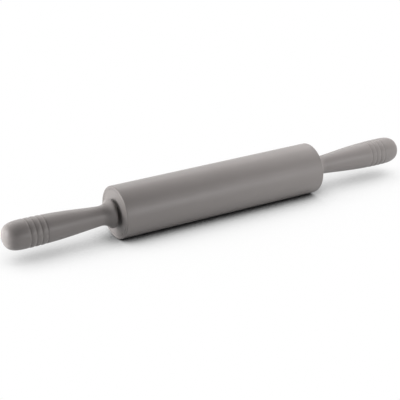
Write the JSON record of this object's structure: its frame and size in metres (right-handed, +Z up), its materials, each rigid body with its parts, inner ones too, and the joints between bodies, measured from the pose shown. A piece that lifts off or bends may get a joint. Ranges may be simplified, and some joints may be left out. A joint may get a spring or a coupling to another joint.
{
  "type": "rolling pin",
  "caption": "Grey silicone rolling pin: a smooth cylindrical barrel that turns freely on an axle between two tapered handles with ring grooves.",
  "frame": {"origin": "on the surface that the barrel rests on, under the middle of the pin", "axes": "+X along the pin's axis, +Z up from the surface"},
  "size_m": [0.4598, 0.0518, 0.0519],
  "materials": {
    "silicone": "matte warm grey silicone",
    "core_plastic": "matte moulded plastic",
    "bush_plastic": "smooth black bearing plastic",
    "steel": "turned stainless steel",
    "brass": "turned brass"
  },
  "bodies": {
    "barrel": {"barrel_sleeve": "silicone", "barrel_core": "core_plastic", "left_end_cap": "silicone", "right_end_cap": "silicone", "left_bush": "bush_plastic", "right_bush": "bush_plastic"},
    "handles": {"axle_rod": "steel", "left_thrust_washer": "steel", "right_thrust_washer": "steel", "left_locknut": "steel", "right_locknut": "steel", "left_thread_insert": "brass", "right_thread_insert": "brass", "left_handle_core": "core_plastic", "right_handle_core": "core_plastic", "left_handle_grip": "silicone", "right_handle_grip": "silicone"}
  },
  "joints": [
    {"name": "axle_spin", "type": "hinge", "parent": "barrel", "child": "handles", "pos_m": [0, 0, 0.02594], "axis": [1, 0, 0], "continuous": true}
  ]
}
